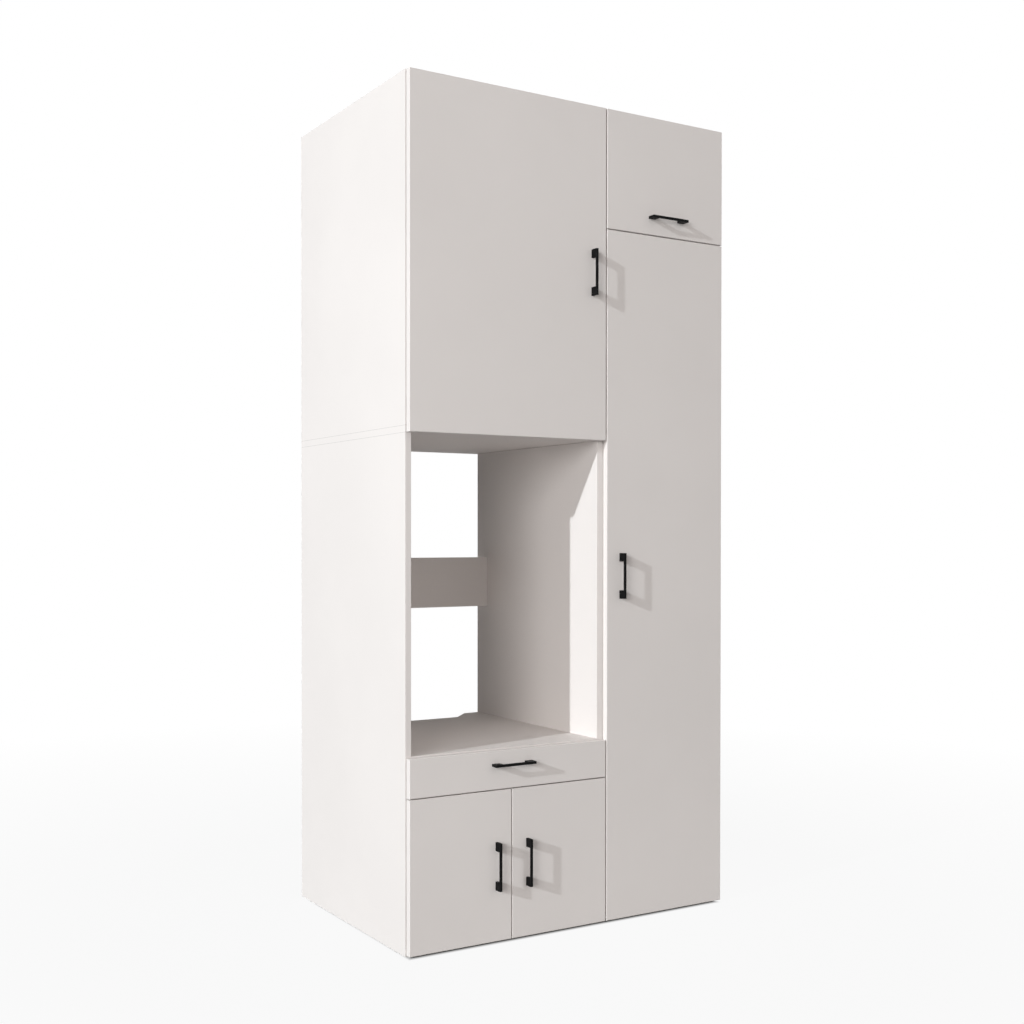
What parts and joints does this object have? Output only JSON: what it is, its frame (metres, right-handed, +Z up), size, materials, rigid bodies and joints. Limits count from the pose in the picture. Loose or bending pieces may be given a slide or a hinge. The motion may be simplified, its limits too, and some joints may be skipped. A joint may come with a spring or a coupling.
{
  "type": "washing machine cabinet",
  "caption": "Tall off-white utility cabinet with an open raised niche for a washing machine over a drawer and doors, beside a tall cupboard with a lift-up flap; slim black bridge handles.",
  "frame": {"origin": "middle of the bounding box, on the floor", "axes": "+X to the right seen from the front, +Y from the doors towards the wall, +Z up"},
  "size_m": [1.09, 0.715, 2.354],
  "materials": {
    "carcass_board": "matt melamine on chipboard",
    "front_board": "matt melamine on chipboard",
    "back_sheet": "white lacquered hardboard",
    "drawer_board": "white foiled chipboard",
    "handle_black": "black powder coat",
    "hinge_steel": "nickel plated",
    "fastener_zinc": "zinc plated",
    "runner_steel": "zinc plated",
    "dowel_wood": "plain beech",
    "glide_plastic": "moulded"
  },
  "bodies": {
    "carcass": {"left_lower_side": "carcass_board", "niche_right_side": "carcass_board", "niche_ceiling": "carcass_board", "left_upper_side": "carcass_board", "upper_right_side": "carcass_board", "upper_top": "carcass_board", "base_bottom": "carcass_board", "base_back": "carcass_board", "niche_rail": "carcass_board", "niche_floor": "carcass_board", "tall_left_side": "carcass_board", "tall_right_side": "carcass_board", "tall_bottom": "carcass_board", "flap_floor": "carcass_board", "tall_top": "carcass_board", "upper_back": "back_sheet", "tall_back": "back_sheet", "upper_shelves": "carcass_board", "tall_shelves": "carcass_board", "shelf_pins": "fastener_zinc", "floor_glides": "glide_plastic", "cam_locks": "fastener_zinc", "cam_bolts": "fastener_zinc", "ceiling_dowels": "dowel_wood", "unit_connectors": "fastener_zinc", "hinge_plates": "hinge_steel", "hinge_arms": "hinge_steel", "hinge_pins": "hinge_steel", "plate_screws": "fastener_zinc", "cabinet_runners": "runner_steel"},
    "upper_door": {"upper_door": "front_board", "upper_door_handle": "handle_black", "upper_door_handle_screws": "fastener_zinc", "upper_door_hinge_cups": "hinge_steel"},
    "lower_left_door": {"lower_left_door": "front_board", "lower_left_door_handle": "handle_black", "lower_left_door_handle_screws": "fastener_zinc", "lower_left_door_hinge_cups": "hinge_steel"},
    "lower_right_door": {"lower_right_door": "front_board", "lower_right_door_handle": "handle_black", "lower_right_door_handle_screws": "fastener_zinc", "lower_right_door_hinge_cups": "hinge_steel"},
    "tall_door": {"tall_door": "front_board", "tall_door_handle": "handle_black", "tall_door_handle_screws": "fastener_zinc", "tall_door_hinge_cups": "hinge_steel"},
    "flap": {"flap": "front_board", "flap_handle": "handle_black", "flap_handle_screws": "fastener_zinc", "flap_hinge_cups": "hinge_steel"},
    "drawer": {"drawer_front": "front_board", "drawer_handle": "handle_black", "drawer_handle_screws": "fastener_zinc", "drawer_left_side": "drawer_board", "drawer_right_side": "drawer_board", "drawer_back": "drawer_board", "drawer_bottom": "drawer_board", "drawer_runners": "runner_steel"},
    "runner_middles": {"middle_runners": "runner_steel"}
  },
  "joints": [
    {"name": "upper_door_hinge", "type": "hinge", "parent": "carcass", "child": "upper_door", "pos_m": [-0.535, -0.3259, 1.8745], "axis": [0, 0, -1], "range_deg": [0, 100]},
    {"name": "lower_left_door_hinge", "type": "hinge", "parent": "carcass", "child": "lower_left_door", "pos_m": [-0.535, -0.3259, 0.2155], "axis": [0, 0, -1], "range_deg": [0, 100]},
    {"name": "lower_right_door_hinge", "type": "hinge", "parent": "carcass", "child": "lower_right_door", "pos_m": [0.095, -0.3259, 0.2155], "axis": [0, 0, 1], "range_deg": [0, 100]},
    {"name": "tall_door_hinge", "type": "hinge", "parent": "carcass", "child": "tall_door", "pos_m": [0.535, -0.3259, 1.0065], "axis": [0, 0, 1], "range_deg": [0, 100]},
    {"name": "flap_hinge", "type": "hinge", "parent": "carcass", "child": "flap", "pos_m": [0.325, -0.3259, 2.344], "axis": [-1, 0, 0], "range_deg": [0, 90]},
    {"name": "drawer_slide", "type": "slide", "parent": "carcass", "child": "drawer", "axis": [0, -1, 0], "range_m": [0, 0.45]},
    {"name": "runner_middle_slide", "type": "slide", "parent": "carcass", "child": "runner_middles", "axis": [0, -1, 0], "range_m": [0, 0.225]}
  ],
  "couplings": [
    {"joint": "runner_middle_slide", "follows": "drawer_slide", "ratio": 0.5}
  ]
}
